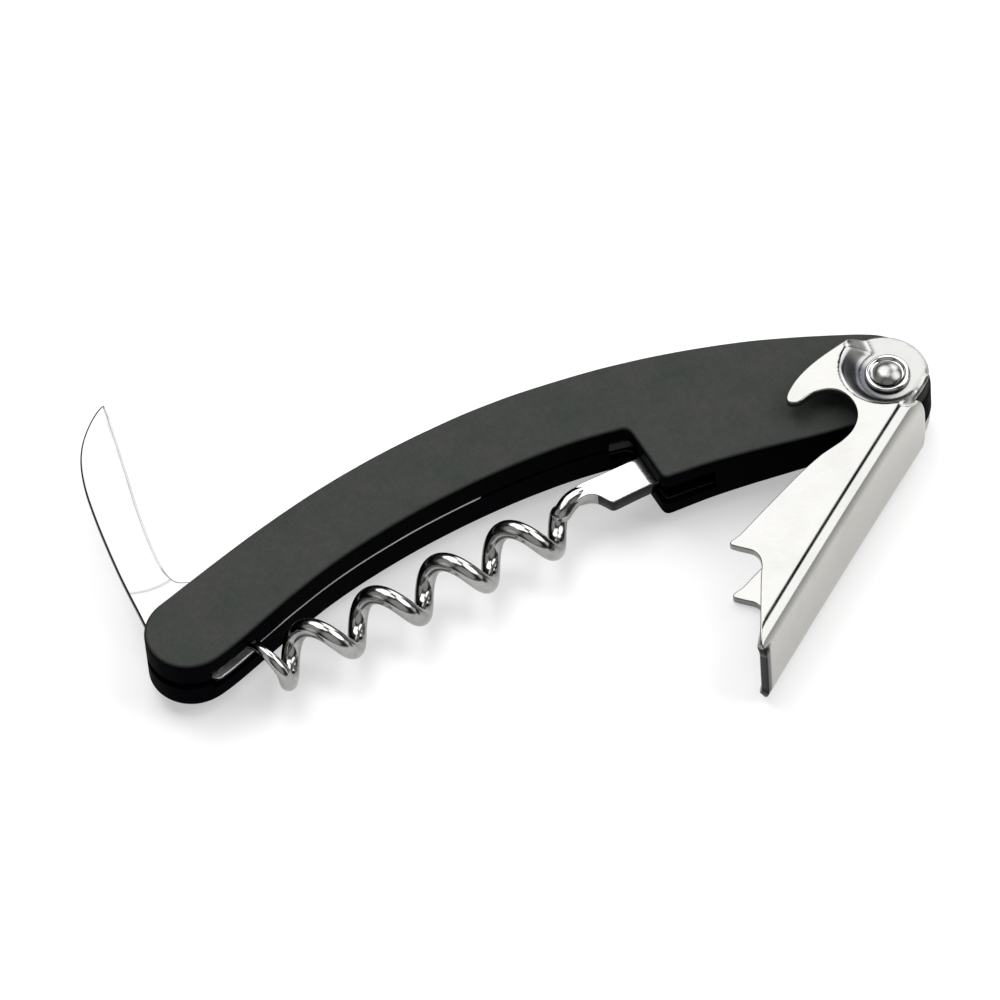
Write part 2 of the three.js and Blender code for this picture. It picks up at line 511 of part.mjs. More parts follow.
const washerProfile = [[RIVET_R + 0.06, 4.56], [WASHER_R - 0.1, 4.56], [WASHER_R, 4.7], [WASHER_R - 0.08, 4.98], [WASHER_R - 0.32, 5.16],
  [WASHER_R - 0.62, 5.1], [2.3, 4.9], [2.15, 4.82], [RIVET_R + 0.06, 4.82], [RIVET_R + 0.06, 4.56]];
const washer = turned(washerProfile, 0, 0, 32);
add('rivet_washer_front', washer, steel('washer_steel', 0xd0d0cc, 0.2));
add('rivet_washer_rear', solid(washer).mirror([0, 0, 1]), steel('washer_steel', 0xd0d0cc, 0.2));
const H = RIVET_HEAD_R;
add('lever_rivet', turned([
  [0, -5.75], [0.9, -5.66], [1.5, -5.42], [H - 0.08, -5.12], [H, -4.98], [H - 0.1, -4.88], [RIVET_R, -4.88],
  [RIVET_R, 4.88], [H - 0.1, 4.88], [H, 4.98], [H - 0.08, 5.12], [1.5, 5.42], [0.9, 5.66], [0, 5.75],
], 0, 0, 32), steel('rivet_steel', 0xc8c8c4, 0.2));

export default group;
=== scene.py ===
"""Looks of the waiter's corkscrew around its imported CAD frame.

Lengths in this file are millimetres in the drawing frame (origin at the lever
pivot on the mid plane, X from the knife end to the pivot, Y to the convex back,
Z the thickness); place() turns them into metres in the row frame.
"""
import json
import math

import bpy
import numpy as np
from mathutils import Matrix, Vector
from mathutils.geometry import delaunay_2d_cdt


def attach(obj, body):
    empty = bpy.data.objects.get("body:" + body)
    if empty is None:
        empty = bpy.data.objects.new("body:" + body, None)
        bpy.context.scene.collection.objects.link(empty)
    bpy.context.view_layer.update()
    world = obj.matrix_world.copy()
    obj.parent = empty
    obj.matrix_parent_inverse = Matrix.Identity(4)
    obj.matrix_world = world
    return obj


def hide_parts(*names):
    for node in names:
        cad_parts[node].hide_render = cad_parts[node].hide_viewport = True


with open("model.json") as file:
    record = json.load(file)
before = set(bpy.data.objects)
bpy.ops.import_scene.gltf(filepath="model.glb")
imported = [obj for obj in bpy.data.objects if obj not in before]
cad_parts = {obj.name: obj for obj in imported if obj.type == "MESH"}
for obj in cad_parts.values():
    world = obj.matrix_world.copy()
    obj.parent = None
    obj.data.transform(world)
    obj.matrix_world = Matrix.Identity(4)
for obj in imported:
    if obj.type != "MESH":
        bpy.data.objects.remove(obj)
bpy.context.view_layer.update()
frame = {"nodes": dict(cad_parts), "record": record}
nodes = frame["nodes"]

ORIGIN = np.array([50.32, -2.375, 6.75])


def place(p):
    return (np.asarray(p, float) + ORIGIN) * 0.001


# ---------------------------------------------------------------- 2D helpers
def spline(points, step=0.25):
    """Points spaced step apart on the uniform Catmull-Rom curve through points."""
    p = np.array(points, float)
    n = len(p)
    out = []
    for i in range(n - 1):
        p0, p1 = p[max(i - 1, 0)], p[i]
        p2, p3 = p[i + 1], p[min(i + 2, n - 1)]
        t = np.linspace(0, 1, 24, endpoint=False)[:, None]
        v0, v1 = (p2 - p0) / 2, (p3 - p1) / 2
        out.append((2 * p1 - 2 * p2 + v0 + v1) * t**3 + (-3 * p1 + 3 * p2 - 2 * v0 - v1) * t**2 + v0 * t + p1)
    return spaced(np.vstack(out + [p[-1:]]), step)


def spaced(p, step, closed=False):
    p = np.asarray(p, float)
    if closed:
        p = np.vstack([p, p[:1]])
    d = np.linalg.norm(np.diff(p, axis=0), axis=1)
    keep = np.concatenate([[True], d > 1e-9])
    p = p[keep]
    s = np.concatenate([[0], np.cumsum(np.linalg.norm(np.diff(p, axis=0), axis=1))])
    n = max(2, int(round(s[-1] / step)))
    u = np.linspace(0, s[-1], n + 1)
    q = np.stack([np.interp(u, s, p[:, 0]), np.interp(u, s, p[:, 1])], 1)
    return q[:-1] if closed else q


def arc(cx, cy, r, a0, a1, n=16):
    a = np.radians(np.linspace(a0, a1, n + 1))
    return np.stack([cx + r * np.cos(a), cy + r * np.sin(a)], 1)


def area(p):
    x, y = p[:, 0], p[:, 1]
    return 0.5 * float(np.sum(x * np.roll(y, -1) - np.roll(x, -1) * y))


def ccw(p):
    return p[::-1].copy() if area(p) < 0 else p


def relax(p, times):
    """Rounds the corners of a closed loop a little."""
    for _ in range(times):
        p = 0.5 * p + 0.25 * (np.roll(p, 1, 0) + np.roll(p, -1, 0))
    return p


def inward(p, d):
    """A closed counter-clockwise loop moved inwards by d, point for point."""
    a, b = np.roll(p, 1, 0), np.roll(p, -1, 0)
    u = p - a
    v = b - p
    u /= np.maximum(np.linalg.norm(u, axis=1, keepdims=True), 1e-12)
    v /= np.maximum(np.linalg.norm(v, axis=1, keepdims=True), 1e-12)
    m = np.stack([-(u[:, 1] + v[:, 1]), u[:, 0] + v[:, 0]], 1)
    m /= np.maximum(np.linalg.norm(m, axis=1, keepdims=True), 1e-12)
    k = np.maximum(0.55, m[:, 0] * -u[:, 1] + m[:, 1] * u[:, 0])
    return p + m * (d / k)[:, None]


def inside(points, loop):
    """Which points lie in a closed loop."""
    x, y = points[:, 0:1], points[:, 1:2]
    x0, y0 = loop[None, :, 0], loop[None, :, 1]
    x1, y1 = np.roll(loop[:, 0], -1)[None], np.roll(loop[:, 1], -1)[None]
    cross = (y0 > y) != (y1 > y)
    with np.errstate(divide="ignore", invalid="ignore"):
        at = (x1 - x0) * (y - y0) / (y1 - y0) + x0
    return (np.sum(cross & (x < at), axis=1) % 2) == 1


def reach(points, loops):
    """Distance from each point to the nearest loop point."""
    best = np.full(len(points), 1e9)
    for loop in loops:
        for k in range(0, len(points), 4000):
            d = np.linalg.norm(points[k:k + 4000, None] - loop[None], axis=2)
            best[k:k + 4000] = np.minimum(best[k:k + 4000], d.min(1))
    return best


def fill(outer, holes, inner_points):
    """Triangles between the loops: 2D vertices, faces, and for each loop the vertex index of every point."""
    loops = [outer, *holes]
    verts, edges = [], []
    for loop in loops:
        base, n = len(verts), len(loop)
        verts += [Vector((float(x), float(y))) for x, y in loop]
        edges += [(base + i, base + (i + 1) % n) for i in range(n)]
    verts += [Vector((float(x), float(y))) for x, y in inner_points]
    v, _, f, orig, _, _ = delaunay_2d_cdt(verts, edges, [], 0, 1e-6)
    v = np.array([list(q)[:2] for q in v])
    f = np.array([list(q) for q in f if len(q) == 3])
    c = v[f].mean(1)
    ok = inside(c, outer)
    for h in holes:
        ok &= ~inside(c, h)
    f = f[ok]
    a = v[f]
    turn = (a[:, 1, 0] - a[:, 0, 0]) * (a[:, 2, 1] - a[:, 0, 1]) - (a[:, 1, 1] - a[:, 0, 1]) * (a[:, 2, 0] - a[:, 0, 0])
    f[turn < 0] = f[turn < 0][:, ::-1]
    where = {}
    for i, sources in enumerate(orig):
        for s in sources:
            where[s] = i
    index, base = [], 0
    for loop in loops:
        index.append([where[base + i] for i in range(len(loop))])
        base += len(loop)
    return v, f, index


def grid_in(outer, holes, step, gap, x_lines=None, y_lines=None):
    lo, hi = outer.min(0), outer.max(0)
    xs = np.arange(lo[0] + step / 2, hi[0], step) if x_lines is None else x_lines
    ys = np.arange(lo[1] + step / 2, hi[1], step) if y_lines is None else y_lines
    g = np.stack(np.meshgrid(xs, ys, indexing="ij"), -1).reshape(-1, 2)
    g = g[inside(g, outer)]
    for h in holes:
        g = g[~inside(g, h)]
    return g[reach(g, [outer, *holes]) > gap]


# ------------------------------------------------------------------- meshes
def make(name, verts, faces, body, replaces, material, marks=None, sharp=35, flip=False):
    verts = place(np.array(verts))
    faces = [tuple(int(i) for i in f) for f in faces]
    faces = [f for f in faces if len(set(f)) == len(f)]
    if flip:
        faces = [f[::-1] for f in faces]
    mesh = bpy.data.meshes.new(name)
    mesh.from_pydata([tuple(map(float, v)) for v in verts], [], faces)
    if marks is not None:
        a = mesh.attributes.new("mark", "FLOAT", "POINT")
        a.data.foreach_set("value", np.asarray(marks, np.float32))
    mesh.validate(verbose=False)
    mesh.update()
    mesh.polygons.foreach_set("use_smooth", [True] * len(mesh.polygons))
    mesh.set_sharp_from_angle(angle=math.radians(sharp))
    mesh.materials.append(material)
    o = bpy.data.objects.new(name, mesh)
    bpy.context.scene.collection.objects.link(o)
    w = o.modifiers.new("even_normals", "WEIGHTED_NORMAL")
    w.keep_sharp = True
    w.weight = 50
    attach(o, body)
    if replaces:
        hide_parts(*replaces)
    return o


def plate(outer, holes, half, edge, grid, mapped, rings=4, gap=None, lines=None):
    """A closed sheet with rounded edges. mapped(points2d, h) gives 3D points; h runs from -half to half.
    Returns vertices, faces and a mark that is 1 on the rounded edges."""
    outer = ccw(outer)
    holes = [ccw(h)[::-1] for h in holes]
    e_loops = [inward(outer, edge)] + [inward(h, edge) for h in holes]
    xs, ys = lines if lines else (None, None)
    pts = grid_in(e_loops[0], e_loops[1:], grid, gap or grid * 0.6, xs, ys)
    v2, f2, index = fill(e_loops[0], e_loops[1:], pts)
    verts, marks, faces = [], [], []
    top = mapped(v2, np.full(len(v2), half))
    bottom = mapped(v2, np.full(len(v2), -half))
    n2 = len(v2)
    verts += list(top) + list(bottom)
    marks += [0.0] * (2 * n2)
    faces += [tuple(f) for f in f2] + [(f[0] + n2, f[2] + n2, f[1] + n2) for f in f2]
    for loop, idx in zip([outer, *holes], index):
        n = len(loop)
        cols = [idx]
        for k in range(1, rings + 1):
            a = math.pi / 2 * k / rings
            ring = inward(loop, edge * (1 - math.sin(a)))
            z = half - edge * (1 - math.cos(a))
            base = len(verts)
            verts += list(mapped(ring, np.full(n, z)))
            marks += [1.0] * n
            cols.append([base + i for i in range(n)])
        for k in range(rings, 0, -1):
            a = math.pi / 2 * k / rings
            ring = inward(loop, edge * (1 - math.sin(a)))
            z = -half + edge * (1 - math.cos(a))
            base = len(verts)
            verts += list(mapped(ring, np.full(n, z)))
            marks += [1.0] * n
            cols.append([base + i for i in range(n)])
        cols.append([i + n2 for i in idx])
        for a, b in zip(cols[:-1], cols[1:]):
            for i in range(n):
                j = (i + 1) % n
                faces.append((a[j], a[i], b[i], b[j]))
    return np.array(verts), faces, np.array(marks)


def lathe(profile, x, y, n=72):
    """Closed solid of revolution about Z; profile is (r, z) from the bottom to the top on the outside."""
    verts, faces, rows = [], [], []
    for r, z in profile:
        if r < 1e-6:
            rows.append([len(verts)])
            verts.append((x, y, z))
        else:
            rows.append(list(range(len(verts), len(verts) + n)))
            for k in range(n):
                a = 2 * math.pi * k / n
                verts.append((x + r * math.cos(a), y + r * math.sin(a), z))
    closed = len(rows[0]) > 1
    pairs = list(zip(rows[:-1], rows[1:])) + ([(rows[-1], rows[0])] if closed else [])
    for a, b in pairs:
        for k in range(n):
            l = (k + 1) % n
            if len(a) == 1 and len(b) == 1:
                continue
            if len(a) == 1:
                faces.append((a[0], b[l], b[k]))
            elif len(b) == 1:
                faces.append((a[k], a[l], b[0]))
            else:
                faces.append((a[k], a[l], b[l], b[k]))
    return verts, faces


def rounded(profile, r=0.08, n=4):
    """Rounds every inner corner of a profile of (r, z) points."""
    p = [np.array(q, float) for q in profile]
    out = [p[0]]
    for i in range(1, len(p) - 1):
        a, b, c = p[i - 1], p[i], p[i + 1]
        u, v = a - b, c - b
        lu, lv = np.linalg.norm(u), np.linalg.norm(v)
        d = min(r, lu * 0.45, lv * 0.45)
        s, e = b + u / lu * d, b + v / lv * d
        for k in range(n + 1):
            t = k / n
            out.append((1 - t) ** 2 * s + 2 * t * (1 - t) * b + t * t * e)
    out.append(p[-1])
    return [tuple(q) for q in out]


def smooth01(x):
    x = np.clip(x, 0, 1)
    return x * x * (3 - 2 * x)


# ---------------------------------------------------------------- materials
def nodes_of(name):
    m = bpy.data.materials.new(name)
    m.use_nodes = True
    t = m.node_tree
    b = t.nodes["Principled BSDF"]
    return m, t, b


def coords(t, scale, rotation=(0, 0, 0)):
    c = t.nodes.new("ShaderNodeTexCoord")
    mp = t.nodes.new("ShaderNodeMapping")
    mp.inputs["Scale"].default_value = scale
    mp.inputs["Rotation"].default_value = rotation
    t.links.new(c.outputs["Object"], mp.inputs["Vector"])
    return mp.outputs["Vector"]


def noise(t, vector, scale, detail=4, rough=0.55):
    n = t.nodes.new("ShaderNodeTexNoise")
    n.inputs["Scale"].default_value = scale
    n.inputs["Detail"].default_value = detail
    n.inputs["Roughness"].default_value = rough
    t.links.new(vector, n.inputs["Vector"])
    return n.outputs["Fac"]


def ramp(t, fac, stops):
    r = t.nodes.new("ShaderNodeValToRGB")
    e = r.color_ramp.elements
    while len(e) > len(stops):
        e.remove(e[-1])
    while len(e) < len(stops):
        e.new(0.5)
    for el, (pos, col) in zip(e, stops):
        el.position = pos
        el.color = (*col, 1) if len(col) == 3 else col
    t.links.new(fac, r.inputs["Fac"])
    return r.outputs["Color"]


def spread(t, fac, a, b, lo=0.0, hi=1.0):
    m = t.nodes.new("ShaderNodeMapRange")
    m.inputs["From Min"].default_value = lo
    m.inputs["From Max"].default_value = hi
    m.inputs["To Min"].default_value = a
    m.inputs["To Max"].default_value = b
    t.links.new(fac, m.inputs["Value"])
    return m.outputs["Result"]


def mix(t, fac, a, b, mode="MIX"):
    m = t.nodes.new("ShaderNodeMix")
    m.data_type = "RGBA"
    m.blend_type = mode
    for socket, value in ((m.inputs[0], fac), (m.inputs[6], a), (m.inputs[7], b)):
        if hasattr(value, "is_output"):
            t.links.new(value, socket)
        elif isinstance(value, (int, float)):
            socket.default_value = value
        else:
            socket.default_value = (*value, 1)
    return m.outputs[2]


def bump(t, b, heights):
    last = None
    for h, strength, distance in heights:
        n = t.nodes.new("ShaderNodeBump")
        n.inputs["Strength"].default_value = strength
        n.inputs["Distance"].default_value = distance
        t.links.new(h, n.inputs["Height"])
        if last is not None:
            t.links.new(last, n.inputs["Normal"])
        last = n.outputs["Normal"]
    t.links.new(last, b.inputs["Normal"])


def mark_of(t, name="mark"):
    a = t.nodes.new("ShaderNodeAttribute")
    a.attribute_name = name
    return a.outputs["Fac"]


def plastic(name="moulded_plastic"):
    """Charcoal moulding: a spark-eroded matt face, smooth walls painted near black as painted shade where they face
    away from the light, and a rim that blends between them.
    """
    m, t, b = nodes_of(name)
    face = mark_of(t)                                       # 0 wall, 1 face, between on the rim
    big = noise(t, coords(t, (1, 1, 1)), 180, 3, 0.5)
    mid = noise(t, coords(t, (1, 1, 1)), 900, 4, 0.6)
    grain = noise(t, coords(t, (1, 1, 1)), 5200, 2, 0.5)
    tone = ramp(t, big, [(0.3, (0.0265, 0.031, 0.0272)), (0.52, (0.031, 0.0333, 0.031)), (0.72, (0.0352, 0.0352, 0.0328))])
    fleck = ramp(t, mid, [(0.35, (0.90, 0.90, 0.90)), (0.7, (1.10, 1.08, 1.06))])
    pit = ramp(t, grain, [(0.3, (0.86, 0.86, 0.86)), (0.7, (1.12, 1.12, 1.12))])
    top = mix(t, 1.0, mix(t, 1.0, tone, fleck, "MULTIPLY"), pit, "MULTIPLY")
    share = spread(t, face, 0.0, 1.0, 0.25, 0.95)
    # painted shade: the walls take a near-black colour in place of the charcoal
    colour = mix(t, share, (0.0010, 0.0010, 0.0016), top)
    t.links.new(colour, b.inputs["Base Color"])
    t.links.new(spread(t, mid, 0.44, 0.60, 0.3, 0.7), b.inputs["Roughness"])
    t.links.new(spread(t, face, 0.004, 0.055), b.inputs["Specular IOR Level"])
    b.inputs["Specular Tint"].default_value = (0.93, 0.96, 1.0, 1)
    bump(t, b, [(grain, 0.35, 0.00002), (mid, 0.2, 0.00003)])
    return m


def steel(name, colour, rough=(0.06, 0.16), lines=(900, 60, 60), line_bump=0.05, cloud=0.10, turn=0.0, edge=None, smudge=0.0, web_painted_light=None):
    """Polished or ground steel: fine lines, slow clouds in gloss and tint, brighter rubbed edges."""
    m, t, b = nodes_of(name)
    b.inputs["Metallic"].default_value = 1.0
    vec = coords(t, lines, (0, 0, turn))
    line = noise(t, vec, 12, 5, 0.65)
    wide = noise(t, coords(t, (1, 1, 1)), 140, 3, 0.5)
    fine = noise(t, coords(t, (1, 1, 1)), 1600, 3, 0.6)
    dark = tuple(c * (1 - cloud) for c in colour)
    tint = ramp(t, wide, [(0.3, dark), (0.5, colour), (0.75, tuple(min(1, c * 1.03) for c in colour))])
    streak = ramp(t, line, [(0.3, (0.93, 0.93, 0.93)), (0.6, (1.0, 1.0, 1.0))])
    base = mix(t, 1.0, tint, streak, "MULTIPLY")
    if smudge:
        spots = ramp(t, fine, [(0.36, (1 - smudge,) * 3), (0.5, (1.0, 1.0, 1.0))])
        base = mix(t, 1.0, base, spots, "MULTIPLY")
    if edge is not None:
        base = mix(t, spread(t, mark_of(t), 0.0, 1.0), base, edge)
    if web_painted_light is not None:                   # painted light: the web brightened to stand in for the floor it reflects
        share = mark_of(t, "web_painted_light")
        base = mix(t, 1.0, base, mix(t, share, (1.0, 1.0, 1.0), web_painted_light), "MULTIPLY")
        # painted shade: the pressed recess round the pivot is darkened
        base = mix(t, 1.0, base, mix(t, mark_of(t, "recess_painted_shade"), (1.0, 1.0, 1.0), (0.26, 0.28, 0.31)), "MULTIPLY")
    # painted shade: the marked edges and inner faces are painted near black
    base = mix(t, mark_of(t, "painted_dark_shade"), base, (0.012, 0.012, 0.013))
    t.links.new(base, b.inputs["Base Color"])
    both = mix(t, 0.5, line, wide)
    gloss = spread(t, both, rough[0], rough[1], 0.3, 0.7)
    if web_painted_light is not None:                   # satin where the ears are pressed in
        dull = mark_of(t, "pressed")
        m2 = t.nodes.new("ShaderNodeMix")
        m2.data_type = "FLOAT"
        t.links.new(dull, m2.inputs[0])
        t.links.new(gloss, m2.inputs[2])
        m2.inputs[3].default_value = 0.36
        gloss = m2.outputs[0]
    t.links.new(gloss, b.inputs["Roughness"])
    bump(t, b, [(line, line_bump, 0.00001), (wide, 0.05, 0.00006)])
    return m


PLASTIC = plastic()
# the lever steel's last colour is painted light that brightens the web about twofold
LEVER_STEEL = steel("pressed_steel", (0.224, 0.223, 0.217), (0.07, 0.17), (60, 900, 60), 0.05, 0.07, math.radians(-42), web_painted_light=(1.98, 1.95, 1.87))
WORM_STEEL = steel("drawn_wire_steel", (0.345, 0.343, 0.337), (0.11, 0.19), (70, 600, 600), 0.04, 0.16, math.radians(-8), smudge=0.12)
BLADE_STEEL = steel("ground_blade_steel", (0.242, 0.242, 0.240), (0.09, 0.18), (60, 1100, 60), 0.06, 0.03, math.radians(4))
LINER_STEEL = steel("stamped_liner_steel", (0.62, 0.623, 0.626), (0.26, 0.38), (60, 700, 60), 0.02, 0.15)
SPRING_STEEL = steel("spring_strip_steel", (0.36, 0.36, 0.36), (0.14, 0.28), (60, 700, 60), 0.08, 0.15)
PIN_STEEL = steel("pin_rod_steel", (0.40, 0.40, 0.395), (0.14, 0.26), (500, 500, 60), 0.08, 0.12)
BRASS = steel("rolled_washer_brass", (0.72, 0.52, 0.22), (0.16, 0.3), (60, 500, 60), 0.08, 0.18)
RIVET_STEEL = steel("headed_rivet_steel", (0.25, 0.25, 0.247), (0.24, 0.32), (300, 300, 300), 0.04, 0.12, smudge=0.12)
WASHER_STEEL = steel("cupped_ring_steel", (0.38, 0.38, 0.376), (0.06, 0.14), (300, 300, 300), 0.04, 0.08)


# ------------------------------------------------------------ handle outline
CLOSED_X, CREASE_X = -26.4, -34.8
underside = [(-98.6, -7.28), (-96.2, -6.42), (-93.6, -5.3), (-90.99, -4.13), (-88.38, -2.96), (-85.76, -1.82), (-80.66, 0.2), (-75.74, 1.8), (-70.99, 3.05), (-66.19, 4.12),
             (-61.62, 4.92), (-57.05, 5.56), (-52.54, 6.02), (-48.21, 6.28), (-43.82, 6.36), (-39.61, 6.2), (-36.2, 5.88)]
lower = [(-31, -3.72), (-27, -3.7), (-22.1, -3.95), (-16, -4.45), (-11.7, -4.8), (-7.2, -5.05), (-4.2, -5.16)]
back = [(5.32, 3.0), (4.72, 4.75), (3.5, 6.55), (1.9, 7.85), (0.03, 8.75), (-1.8, 9.45), (-7.5, 11.35), (-13.3, 13.05), (-17.3, 14.0), (-21.2, 14.78), (-25.2, 15.45),
        (-29.3, 16.0), (-34.8, 16.52), (-39.5, 16.86), (-46.07, 17.12), (-50.41, 17.06), (-54.8, 16.82), (-59.3, 16.34), (-63.75, 15.74), (-68.38, 14.95), (-73.13, 13.93),
        (-77.81, 12.74), (-82.74, 11.26), (-87.72, 9.6), (-92.64, 7.8), (-97.86, 5.8), (-100.6, 4.72)]
KNIFE_PIVOT = (-100.46, -1.58)
WORM_PIVOT = (-30.4, 1.2)
handle = ccw(np.vstack([spline(underside), arc(-36.0, 4.88, 1.0, 83, 6, 8), arc(-33.1, -2.92, 0.85, 187, 268, 10), spline(lower), arc(0, 0, 5.78, -114, 20, 40), spline(back),
                        arc(*KNIFE_PIVOT, 5.95, 112, 282, 50)]))
handle = relax(spaced(handle, 0.35, closed=True), 2)


def with_crossings(loop, xs):
    """The loop with a point added wherever it crosses one of the lines x."""
    out = []
    n = len(loop)
    for i in range(n):
        a, b = loop[i], loop[(i + 1) % n]
        out.append(a)
        for x in sorted(xs, reverse=bool(b[0] < a[0])):
            if (a[0] - x) * (b[0] - x) < 0:
                f = (x - a[0]) / (b[0] - a[0])
                if min(f, 1 - f) * abs(b[0] - a[0]) < 0.02:
                    continue
                out.append(a + (b - a) * f)
    return np.array(out)


def taper(x):
    return np.where(x <= CREASE_X, 4.5, 4.5 - 1.5 * (x - CREASE_X) / -CREASE_X)


def runs_of(mask):
    """Contiguous stretches of a closed loop where mask holds, as (first, last)."""
    n = len(mask)
    return [(i, next(j % n for j in range(i, i + n) if not mask[(j + 1) % n])) for i in range(n) if mask[i] and not mask[i - 1]]


def cover(name, sign, low):
    """One moulded half, drawn on the +Z side. low is the height its underside lip reaches."""
    inner_z, fillet = 1.95, 0.6
    loop = handle.copy()
    for half in (loop[:, 1] < 3, loop[:, 1] >= 3):      # the pocket's end sits exactly on a point
        k = np.where(half)[0][np.argmin(abs(loop[half, 0] - CLOSED_X))]
        loop[k, 0] = CLOSED_X
    n = len(loop)
    from_tang = loop - np.array(KNIFE_PIVOT)
    angle = np.degrees(np.arctan2(from_tang[:, 1], from_tang[:, 0])) % 360
    on_heel = (np.hypot(*from_tang.T) < 6.3) & (angle > 112) & (angle < 281)
    on_low = (loop[:, 0] > -92.2) & (loop[:, 0] < -37.6) & (reach(loop, [spline(underside, 0.1)]) < 0.4)
    lips = [(on_heel, 0.95, 0.75, None), (on_low, 0.52, low, None), (loop[:, 0] > CLOSED_X - 1e-9, 0.52, 0.04, CLOSED_X)]
    verts, marks, faces = [], [], []

    def ring(points, z, mark):
        base = len(verts)
        verts.extend((x, y, zz) for (x, y), zz in zip(points, np.broadcast_to(z, len(points))))
        marks.extend([mark] * len(points))
        return [base + i for i in range(len(points))]

    rows = [ring(loop, inner_z, 0.0)]
    steps = 8
    z_top = taper(loop[:, 0])
    for k in range(0, steps):
        a = math.pi / 2 * k / steps
        rows.append(ring(inward(loop, fillet * (1 - math.cos(a))), z_top - fillet + fillet * math.sin(a), math.sin(a) ** 2))
    # outer face, with the crease where the taper starts
    rim = inward(loop, fillet)
    bush = ccw(arc(0, 0, 2.36, 0, 360, 40)[:-1])[::-1]
    g = grid_in(rim, [bush], 1.6, 0.8)
    crease = np.stack([np.full(40, CREASE_X), np.linspace(-2.2, 15.6, 40)], 1)
    crease = crease[inside(crease, rim) & (reach(crease, [rim]) > 0.4)]
    g = np.vstack([g[abs(g[:, 0] - CREASE_X) > 0.5], crease])
    v2, f2, index = fill(rim, [bush], g)
    base = len(verts)
    verts.extend((x, y, z) for (x, y), z in zip(v2, taper(v2[:, 0])))
    marks.extend([1.0] * len(v2))
    faces.extend((base + a, base + b, base + c) for a, b, c in f2)
    rows.append([base + i for i in index[0]])
    for a, b in zip(rows[:-1], rows[1:]):
        for i in range(n):
            j = (i + 1) % n
            faces.append((a[i], a[j], b[j], b[i]))
    hole_top = [base + i for i in index[1]]
    # inner plane at inner_z, stepping in behind each lip
    lip_of, tight, first, last = {}, {}, set(), set()
    stretches = []
    for mask, depth, z_low, x_end in lips:
        deep = inward(loop, depth)
        for s0, s1 in runs_of(mask):
            stretches.append((s0, s1, z_low))
            first.add(s0)
            last.add(s1)
            i = s0
            while True:
                lip_of[i] = z_low
                tight[i] = deep[i].copy()
                if x_end is not None and i in (s0, s1):
                    tight[i][0] = x_end
                if i == s1:
                    break
                i = (i + 1) % n
    poly, key = [], []
    for i in range(n):
        if i not in lip_of or i in first:
            poly.append(loop[i]); key.append(("wall", i))
        if i in lip_of:
            poly.append(tight[i]); key.append(("tight", i))
        if i in last:
            poly.append(loop[i]); key.append(("wall", i))
    poly = np.array(poly)
    v3, f3, index3 = fill(poly, [bush], grid_in(poly, [bush], 3.0, 1.2))
    base3 = len(verts)
    verts.extend((x, y, inner_z) for x, y in v3)
    marks.extend([0.0] * len(v3))
    faces.extend((base3 + a, base3 + c, base3 + b) for a, b, c in f3)
    at = {k: base3 + index3[0][m] for m, k in enumerate(key)}
    hole_low = [base3 + i for i in index3[1]]
    m = len(bush)
    for i in range(m):
        j = (i + 1) % m
        faces.append((hole_top[i], hole_top[j], hole_low[j], hole_low[i]))
    wall_low = rows[0]
    merge = {wall_low[i]: at[("wall", i)] for i in range(n) if ("wall", i) in at}
    for s0, s1, z_low in stretches:
        out, inn, i = {}, {}, s0
        while True:
            out[i], inn[i] = len(verts), len(verts) + 1
            verts.append((*loop[i], z_low)); verts.append((*tight[i], z_low))
            marks += [0.0, 0.0]
            if i == s1:
                break
            i = (i + 1) % n
        i = s0
        while i != s1:
            j = (i + 1) % n
            faces.append((out[i], out[j], wall_low[j], wall_low[i]))
            faces.append((inn[i], inn[j], out[j], out[i]))
            faces.append((at[("tight", i)], at[("tight", j)], inn[j], inn[i]))
            i = j
        faces.append((inn[s0], out[s0], at[("wall", s0)], at[("tight", s0)]))
        faces.append((at[("tight", s1)], at[("wall", s1)], out[s1], inn[s1]))
    faces = [tuple(merge.get(i, i) for i in f) for f in faces]
    verts = np.array(verts)
    verts[:, 2] *= sign
    return make(name + "_moulding", verts, faces, "handle", [name], PLASTIC, marks, sharp=38, flip=sign < 0)


cover("front_cover", 1, 0.75)
cover("rear_cover", -1, -0.15)

# ------------------------------------------------------- liners and spring
LINER_HOLES = [(0, 0, 2.36), (*KNIFE_PIVOT, 1.45), (*WORM_PIVOT, 1.35), (-72.0, 5.1, 0.85), (-50.0, 8.5, 0.85)]


def liner(name, sign):
    outer = inward(handle, 0.6)
    # standing back from the wall round the tang
    t = smooth01((-98 - outer[:, 0]) / 2)
    to_pin = np.array(KNIFE_PIVOT) - outer
    outer = outer + to_pin / np.linalg.norm(to_pin, axis=1, keepdims=True) * (1.4 * t)[:, None]
    holes = [arc(x, y, r, 0, 360, 28)[:-1] for x, y, r in LINER_HOLES]
    middle, half = sign * (1.25 + 1.9) / 2, (1.9 - 1.25) / 2

    def mapped(p, h):
        return np.stack([p[:, 0], p[:, 1], middle + h], 1)

    v, f, marks = plate(outer, holes, half, 0.1, 4.0, mapped, rings=3, gap=1.5)
    o = make(name + "_plate", v, f, "handle", [name], LINER_STEEL, marks)
    # painted shade: the liner is painted near black from about x = -60 towards the worm end, where it sits in the
    # slot's shade
    a = o.data.attributes.new("painted_dark_shade", "FLOAT", "POINT")
    a.data.foreach_set("value", smooth01((np.array(v)[:, 0] + 60.0) / 4.0).astype(np.float32))
    return o


liner("front_liner", 1)
liner("rear_liner", -1)


